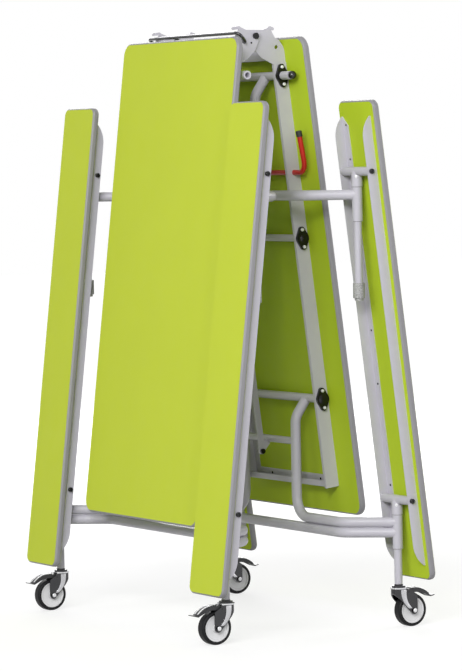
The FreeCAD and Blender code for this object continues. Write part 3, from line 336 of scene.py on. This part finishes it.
looks = {graph.name: graph.material for graph in (
    board_laminate(),
    finish("grey_edging", (0.26, 0.256, 0.27), 0.45, 700, variation=0.04, relief=0.06),
    finish("frame_paint", (0.545, 0.53, 0.592), 0.33, 1400, variation=0.05, relief=0.15,
           depth=0.0001, specular=0.3),
    finish("bearing_plastic", (0.006, 0.006, 0.007), 0.2, 1200, variation=0.2, relief=0.04,
           specular=0.4),
    # Bright metal for the painted highlight strips down the casters' forks
    finish("fork_highlight_strips", (0.55, 0.55, 0.57), 0.28, 160, metal=1.0, variation=0.12,
           stretch=(1, 1, 6)),
    finish("bright_screws", (0.8, 0.8, 0.82), 0.3, 500, metal=0.4, relief=0.05),
    finish("black_bolts", (0.008, 0.008, 0.009), 0.16, 900, variation=0.2, relief=0.01,
           specular=0.35),
    finish("bail_rod", (0.02, 0.02, 0.026), 0.2, 600, variation=0.15, coat=0.3),
    finish("red_lever", (0.52, 0.02, 0.012), 0.32, 900, variation=0.08, specular=0.3),
    finish("grip_plastic", (0.02, 0.02, 0.02), 0.5, 800, variation=0.2, relief=0.3),
    finish("cap_plastic", (0.006, 0.006, 0.008), 0.12, 900, variation=0.2, relief=0.01, coat=0.2),
    finish("glide_plastic", (0.42, 0.42, 0.42), 0.6, 300, variation=0.5, relief=0.4),
    caster_steel(),
    wheel_centre(),
    finish("tread", (0.007, 0.007, 0.008), 0.55, 500, variation=0.3, relief=0.3, specular=0.2),
    finish("pedal_steel", (0.028, 0.028, 0.03), 0.35, 300, variation=0.15, specular=0.4),
)}

for entry in record["subparts"]:
    node = nodes[entry["node"]]
    node.data.materials.clear()
    node.data.materials.append(looks[entry["material_slot"]])


# ---------------------------------------------------------------- places in the model

def side_turn(side):
    """The turn that carries a place on the right half to the same place on this half."""
    return Matrix.Rotation(math.pi if side == "left" else 0, 4, "Z")


def level_frame(origin):
    """Axes of a folded board: x from its hinged end outwards, z out of its upper face."""
    return Matrix.Translation(origin) @ Matrix.Rotation(FOLD, 4, "Y")


def table_frame():
    hinge = Matrix.Rotation(FOLD, 4, "Y") @ Vector((-HINGE_GAP, 0, -HINGE_DROP))
    return level_frame(joints["centre_hinge"] - hinge)


def leg_point(kind):
    """Where the benches pivot on the right side's outer (caster) or inner (glide) frame."""
    pivot = joints["fold"] if kind == "caster" else joints["right_glide_support_pivot"]
    return pivot + Vector((LEG_INSET, 0, -PIVOT_RISE))


def bench_frame(place):
    """The frame of a right bench, the front one for place -1 and the back one for +1."""
    pivot = Matrix.Rotation(FOLD, 4, "Y") @ Vector((BENCH_PIVOT_INNER, 0, -BENCH_PIVOT_DROP))
    origin = leg_point("glide") - pivot
    origin.y = place * BENCH_SPREAD
    return level_frame(origin)


def caster_frame(name):
    """Axes of a caster: z up its swivel from the floor, x towards its axle."""
    swivel = joints[name + "_swivel"]
    return Matrix.Translation((swivel.x, swivel.y, 0)) @ side_turn(name.split("_")[0])


def facing(spot, direction):
    """A frame at a spot whose z axis points along a direction."""
    turn = Vector(direction).normalized().to_track_quat("Z", "X")
    return Matrix.Translation(Vector(spot)) @ turn.to_matrix().to_4x4()


# ---------------------------------------------------------------- mesh code

def add_object(name, data):
    made = bpy.data.objects.new(name, data)
    bpy.context.scene.collection.objects.link(made)
    return made


def skin(shape, loops):
    """Add a closed form through loops of points, capped at its first and its last loop."""
    rings = [[shape.verts.new(point) for point in loop] for loop in loops]
    for lower, upper in zip(rings, rings[1:]):
        for number in range(len(lower)):
            after = (number + 1) % len(lower)
            shape.faces.new((lower[number], lower[after], upper[after], upper[number]))
    shape.faces.new(tuple(reversed(rings[0])))
    shape.faces.new(rings[-1])


def circle(place, height, reaches):
    """Points round a place's axis, at the given distances from it."""
    points = []
    for number, reach in enumerate(reaches):
        angle = 2 * math.pi * number / len(reaches)
        points.append(place @ Vector((reach * math.cos(angle), reach * math.sin(angle), height)))
    return points


def turned(shape, place, profile, socket=0.0, depth=0.0):
    """Add a turned form: (radius, height) pairs from its rim to the middle, and a socket."""
    loops = [circle(place, height, [radius] * HEAD_SIDES) for radius, height in profile]
    if socket:
        hexagon = []
        for number in range(HEAD_SIDES):
            off = (2 * math.pi * number / HEAD_SIDES) % (math.pi / 3) - math.pi / 6
            hexagon.append(socket * math.cos(math.pi / 6) / math.cos(off))
        top = profile[-1][1]
        loops += [circle(place, height, hexagon) for height in (top, top - depth)]
    skin(shape, loops)


def piece(name, shape, look, body):
    """Finish a mesh as a piece of the table that moves with a body."""
    mesh = bpy.data.meshes.new(name)
    bmesh.ops.recalc_face_normals(shape, faces=shape.faces)
    shape.to_mesh(mesh)
    shape.free()
    mesh.materials.append(looks[look])
    mesh.shade_smooth()
    mesh.set_sharp_from_angle(angle=SHARP_EDGE)
    made = add_object(name, mesh)
    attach(made, body)


def on_curve(curve, share):
    """A point along a curve that is given by its two ends and the corner between them."""
    return [(1 - share) ** 2 * first + 2 * share * (1 - share) * middle + share ** 2 * last
            for first, middle, last in zip(*curve)]


def eased(share, rate):
    """1 along most of a strip, falling smoothly to 0 at its two ends."""
    return math.sin(min(1, rate * share, rate * (1 - share)) * math.pi / 2)


def crossing(count):
    """Even places from -1 to 1 across a strip."""
    return [2 * number / count - 1 for number in range(count + 1)]


# ---------------------------------------------------------------- screws, bolts and seams

def dome(radius, height):
    """A low rounded head's profile, from its rim up to the edge of its socket."""
    profile = [(radius, 0.0)]
    for number in range(HEAD_STEPS + 1):
        turn = math.pi / 2 * number / HEAD_STEPS
        profile.append((radius * (HEAD_FLAT_SHARE + (1 - HEAD_FLAT_SHARE) * math.cos(turn)),
                        height * (HEAD_RIM_SHARE + (1 - HEAD_RIM_SHARE) * math.sin(turn))))
    return profile


def heads(name, body, look, places, size, socket=SOCKET_SHARE):
    """Low round heads with a hexagon socket, one at each place."""
    radius, height = size
    shape = bmesh.new()
    for place in places:
        turned(shape, place, dome(radius, height), socket=radius * socket,
               depth=height * SOCKET_DEPTH_SHARE)
    piece(name, shape, look, body)


def bench_screws(side, place):
    """Screws that hold a seat to its two rails."""
    local = side_turn(side) @ bench_frame(place)
    front = (place < 0) == (side == "right")
    name = "%s_%s" % (side, "front" if front else "back")
    spots = []
    for along in RAIL_SCREWS:
        for rail in (-1, 1):
            spot = (along, rail * (RAIL_SPREAD - RAIL_SCREW_INSET), -BOARD - SHEET)
            spots.append(local @ facing(spot, (0, 0, -1)))
    heads(name + "_seat_screws", name + "_bench", "black_bolts", spots, RAIL_SCREW)


def table_screws(side):
    """Screws that hold the top to its channels and cross channels."""
    local = side_turn(side) @ table_frame()
    spots = [(along, edge * (CHANNEL_SPREAD - CHANNEL_SCREW_INSET), -BOARD - SHEET)
             for edge in (-1, 1) for along in CHANNEL_SCREWS]
    spots += [(end - CROSS_SCREW_INSET, across, -BOARD - SHEET)
              for across in CROSS_SCREWS for end in (CHANNEL_END, INNER_CROSS)]
    heads(side + "_table_screws", side + "_table", "black_bolts",
          [local @ facing(spot, (0, 0, -1)) for spot in spots], TABLE_SCREW)


def bearing_bolts(side):
    """The heads of the two bolts in each bearing's flange."""
    local = side_turn(side) @ table_frame()
    spots = []
    for place in PIVOT_PLACES:
        for edge in (-1, 1):
            for end in (-1, 1):
                spot = (place + end * BEARING_BOLT_SPREAD, edge * (BEARING_FACE + BEARING_FLANGE),
                        -PIVOT_DROP)
                spots.append(local @ facing(spot, (0, edge, 0)))
    heads(side + "_bearing_bolt_heads", side + "_table", "bright_screws", spots, BEARING_BOLT)


def hinge_rivets():
    """The stop rivets on the outside of the left half's hinge plates."""
    local = side_turn("left") @ table_frame()
    spots = []
    for edge in (-1, 1):
        spot = (RIVET_PLACE[0] - HINGE_GAP, edge * (CHANNEL_SPREAD + HINGE_PLATE),
                RIVET_PLACE[1] - HINGE_DROP)
        spots.append(local @ facing(spot, (0, edge, 0)))
    heads("left_hinge_rivets", "left_table", "black_bolts", spots, HINGE_RIVET,
          socket=RIVET_SOCKET_SHARE)


def frame_fasteners(side, kind):
    """Bolt heads at the bench pivots, and the screws of the legs below them with dark rings where
    their tubes meet, painted shade for the gaps between the tubes.
    """
    turn = side_turn(side)
    name = "%s_%s" % (side, kind)
    origin = leg_point(kind)
    bolts = []
    screws = []
    seam_shadows = bmesh.new()
    for place in (-1, 1):
        for rail in (-1, 1):
            across = place * BENCH_SPREAD + rail * (RAIL_SPREAD + CLEARANCE + BOLT_REACH)
            bolts.append(turn @ facing(origin + Vector((0, across, 0)), (0, rail, 0)))
        leg = origin + Vector((0, place * LEG_SPREAD, 0))
        out = Vector((LEG_SCREW_SIDE[0], LEG_SCREW_SIDE[1] * -place, 0))
        spot = leg - Vector((0, 0, LEG_SCREW_DROP)) + out * (LEG_SOCKET_RADIUS - LEG_SCREW_SINK)
        screws.append(turn @ facing(spot, out))
        for drop, radius in LEG_SEAM_SHADOWS:
            profile = [(radius, -SEAM_SHADOW_HEIGHT), (radius + SEAM_SHADOW_PROUD, -SEAM_SHADOW_HEIGHT),
                       (radius + SEAM_SHADOW_PROUD, 0), (radius, 0)]
            turned(seam_shadows, turn @ Matrix.Translation(leg - Vector((0, 0, drop))), profile)
    heads(name + "_bolt_heads", name + "_support", "black_bolts", bolts, PIVOT_BOLT)
    heads(name + "_leg_screws", name + "_support", "bright_screws", screws, LEG_SCREW)
    # The dark rings are painted shade where the leg tubes meet
    piece(name + "_leg_seams", seam_shadows, "grip_plastic", name + "_support")


# ---------------------------------------------------------------- caster trim

def fork_point(along, face, lift, height):
    """A point a little outside a fork's side, which is round behind the swivel."""
    side_wall = math.sqrt(FORK_HALF ** 2 - min(along, 0) ** 2)
    return Vector((along, face * (side_wall + lift), height))


def fork_trim(name):
    """A raised strip of bright metal down each side of a caster's fork, a painted highlight on its
    rounded front, and caps on its axle nuts.
    """
    local = caster_frame(name)
    body = name + "_caster_swivel"
    places = crossing(RIB_CROSSING)
    ribs = bmesh.new()
    caps = []
    for face in (-1, 1):
        loops = []
        for step in range(RIB_STEPS + 1):
            share = step / RIB_STEPS
            middle, height = on_curve(RIB_CURVE, share)
            half = RIB_TOP_HALF + (RIB_FOOT_HALF - RIB_TOP_HALF) * share
            rise = RIB_HEIGHT * eased(share, RIB_EASE)
            outline = [(place, rise * (1 - place ** 2)) for place in places]
            outline += [(place, -RIB_ROOT) for place in reversed(places)]
            loops.append([local @ fork_point(middle + half * place, face, lift, height)
                          for place, lift in outline])
        skin(ribs, loops)
        spot = (TRAIL, face * (FORK_HALF + AXLE_NUT - AXLE_CAP_SINK), WHEEL_RADIUS)
        caps.append(local @ facing(spot, (0, face, 0)))
    # The strips are a painted highlight in bright metal on the fork's dark steel
    piece(name + "_fork_highlight_strips", ribs, "fork_highlight_strips", body)
    heads(name + "_axle_caps", body, "bright_screws", caps, AXLE_CAP, socket=CAP_SOCKET_SHARE)


def pedal_sheet_top(along):
    """The height of the pedal's bent sheet at a distance outwards."""
    for (first, high), (last, low) in zip(PEDAL_SHEET, PEDAL_SHEET[1:]):
        if along <= last:
            return high + (low - high) * (along - first) / (last - first)
    return PEDAL_SHEET[-1][1]


def pedal_arch(shape, local, span, half, rise, base=0.0, aside=0.0):
    """A crowned strip along part of a pedal's upper line, down to its sheet."""
    start, end = span
    places = crossing(PEDAL_CROSSING)
    loops = []
    for step in range(PEDAL_STEPS + 1):
        share = step / PEDAL_STEPS
        along, height = on_curve(PEDAL_CURVE, start + (end - start) * share)
        soft = eased(share, PEDAL_EASE)
        width = half * (PEDAL_END_SHARE + (1 - PEDAL_END_SHARE) * soft)
        low = pedal_sheet_top(along) - PEDAL_SHEET_SINK
        loop = [(along, aside + width * place, height + base + rise * soft * (1 - place ** 4))
                for place in places]
        loop += [(along, aside + width * place, low) for place in reversed(places)]
        loops.append([local @ Vector(point) for point in loop])
    skin(shape, loops)


def pedal_trim(name):
    """The rounded back of a brake pedal, with two raised strips in bright metal along it where the
    pedal shows a white streak.
    """
    local = caster_frame(name)
    back = bmesh.new()
    pedal_arch(back, local, (0, 1), PEDAL_HALF, PEDAL_CROWN)
    piece(name + "_pedal_back", back, "pedal_steel", name + "_brake")
    ribs = bmesh.new()
    for aside in (-PEDAL_RIB_PLACE, PEDAL_RIB_PLACE):
        pedal_arch(ribs, local, PEDAL_RIB_SPAN, PEDAL_RIB_HALF, PEDAL_RIB_RISE, PEDAL_RIB_BASE,
                   aside)
    piece(name + "_pedal_bright_strips", ribs, "bright_screws", name + "_brake")


for side in ("right", "left"):
    table_screws(side)
    bearing_bolts(side)
    for end in ("front", "back"):
        fork_trim("%s_%s" % (side, end))
        pedal_trim("%s_%s" % (side, end))
    for place in (-1, 1):
        bench_screws(side, place)
    for kind in ("caster", "glide"):
        frame_fasteners(side, kind)
hinge_rivets()


# ---------------------------------------------------------------- floor, light and camera

# The floor and the surroundings: strengths of 1 are white
FLOOR_HALF = 30
FLOOR_COLOUR = (0.4, 0.4, 0.4, 1)
FLOOR_ROUGHNESS = 0.9
NEAR_GLOW = 0.66
FAR_GLOW = 0.95
GLOW_BLEND = (1.5, 5)
WORLD_LIGHT = 0.32

# Soft lamps: name, place, height aimed at, width and height, power
LAMPS = (
    ("key", (-7.6, -5.2, 5.5), 0.9, (4, 4), 390),
    ("fill", (-5.2, -7.2, 4.6), 0.9, (2, 2), 300),
    ("right_strip", (5.2, -4.6, 2.2), 0.6, (1.6, 2.4), 60),
    ("front_strip", (-2.6, -7.8, 3.0), 0.6, (0.6, 2.0), 60),
    ("side_strip", (-8.5, -2.2, 1.2), 0.9, (0.4, 2.4), 45),
    ("back", (3.5, 8.5, 4.0), 0.9, (5, 5), 420),
    ("far_side", (8.5, 1.5, 4.0), 0.9, (4, 4), 200),
)
SPARK_PLACE = (-7.4, -6.0, 3.4)
SPARK_RADIUS = 0.3
SPARK_POWER = 180

# The photo's camera, fitted in pixels of the 462-pixel frame
PHOTO_WIDTH = 462
FOCAL_PIXELS = 3707.54
SENSOR = 36
CAMERA_REACH = 100
CAMERA_PLACE = (-5.71285, -9.9956, 1.45369)
CAMERA_RIGHT = (0.86608246, -0.49948686, -0.02034831)
CAMERA_UP = (0.04242676, 0.03288596, 0.9985582)


def math_node(tree, operation, value, other):
    """Arithmetic on a node's output and a plain number or another node's output."""
    made = tree.nodes.new("ShaderNodeMath")
    made.operation = operation
    tree.links.new(value, made.inputs[0])
    if isinstance(other, (int, float)):
        made.inputs[1].default_value = other
    else:
        tree.links.new(other, made.inputs[1])
    return made.outputs[0]


def seen_directly(tree):
    """1 for what the camera, reflections and glass see, 0 for light that falls on the table."""
    path = tree.nodes.new("ShaderNodeLightPath")
    seen = math_node(tree, "MAXIMUM", path.outputs["Is Camera Ray"], path.outputs["Is Glossy Ray"])
    return math_node(tree, "MAXIMUM", seen, path.outputs["Is Transmission Ray"])


def glowing(tree, shader, strength):
    """A shader with a glow added that lights nothing, but is seen directly."""
    glow = tree.nodes.new("ShaderNodeEmission")
    tree.links.new(math_node(tree, "MULTIPLY", seen_directly(tree), strength),
                   glow.inputs["Strength"])
    added = tree.nodes.new("ShaderNodeAddShader")
    tree.links.new(shader, added.inputs[0])
    tree.links.new(glow.outputs[0], added.inputs[1])
    return added.outputs[0]


def floor():
    """A pale floor that fades into the background and keeps the shadow near the table."""
    mesh = bpy.data.meshes.new("floor")
    shape = bmesh.new()
    bmesh.ops.create_grid(shape, x_segments=1, y_segments=1, size=FLOOR_HALF)
    shape.to_mesh(mesh)
    shape.free()
    ground = add_object("floor", mesh)
    paint = bpy.data.materials.new("floor_paint")
    paint.use_nodes = True
    tree = paint.node_tree
    shader = tree.nodes["Principled BSDF"]
    shader.inputs["Base Color"].default_value = FLOOR_COLOUR
    shader.inputs["Roughness"].default_value = FLOOR_ROUGHNESS
    shader.inputs["Specular IOR Level"].default_value = 0
    place = tree.nodes.new("ShaderNodeTexCoord")
    distance = tree.nodes.new("ShaderNodeVectorMath")
    distance.operation = "LENGTH"
    tree.links.new(place.outputs["Object"], distance.inputs[0])
    blend = tree.nodes.new("ShaderNodeMapRange")
    blend.inputs["From Min"].default_value, blend.inputs["From Max"].default_value = GLOW_BLEND
    tree.links.new(distance.outputs["Value"], blend.inputs["Value"])
    joined = tree.nodes.new("ShaderNodeMixShader")
    tree.links.new(blend.outputs["Result"], joined.inputs[0])
    tree.links.new(glowing(tree, shader.outputs[0], NEAR_GLOW), joined.inputs[1])
    tree.links.new(glowing(tree, shader.outputs[0], FAR_GLOW), joined.inputs[2])
    tree.links.new(joined.outputs[0], tree.nodes["Material Output"].inputs["Surface"])
    mesh.materials.append(paint)


def surroundings():
    """An even light from all around, which is white where it is seen directly."""
    world = bpy.data.worlds.new("studio")
    bpy.context.scene.world = world
    world.use_nodes = True
    tree = world.node_tree
    sky = tree.nodes["Background"]
    sky.inputs["Color"].default_value = (1, 1, 1, 1)
    level = tree.nodes.new("ShaderNodeMapRange")
    level.inputs["To Min"].default_value = WORLD_LIGHT
    level.inputs["To Max"].default_value = 1
    tree.links.new(seen_directly(tree), level.inputs["Value"])
    tree.links.new(level.outputs["Result"], sky.inputs["Strength"])


def soft_light(name, place, aim, size, power):
    lamp = bpy.data.lights.new(name, "AREA")
    lamp.shape = "RECTANGLE"
    lamp.size, lamp.size_y = size
    lamp.energy = power
    holder = add_object(name, lamp)
    holder.location = place
    way = Vector((0, 0, aim)) - Vector(place)
    holder.rotation_euler = way.to_track_quat("-Z", "Y").to_euler()


def spark():
    """A small round lamp, for a sharp highlight on domed heads."""
    lamp = bpy.data.lights.new("spark", "POINT")
    lamp.shadow_soft_size = SPARK_RADIUS
    lamp.energy = SPARK_POWER
    add_object("spark", lamp).location = SPARK_PLACE


def main_camera():
    camera = bpy.data.cameras.new("camera")
    camera.sensor_fit = "HORIZONTAL"
    camera.sensor_width = SENSOR
    camera.lens = SENSOR * FOCAL_PIXELS / PHOTO_WIDTH
    camera.clip_end = CAMERA_REACH
    holder = add_object("camera", camera)
    right = Vector(CAMERA_RIGHT)
    up = Vector(CAMERA_UP)
    turn = Matrix((right, up, right.cross(up))).transposed()
    holder.matrix_world = Matrix.Translation(CAMERA_PLACE) @ turn.to_4x4()
    bpy.context.scene.camera = holder


floor()
surroundings()
for lamp_settings in LAMPS:
    soft_light(*lamp_settings)
spark()
main_camera()
bpy.context.scene.view_settings.view_transform = "Standard"
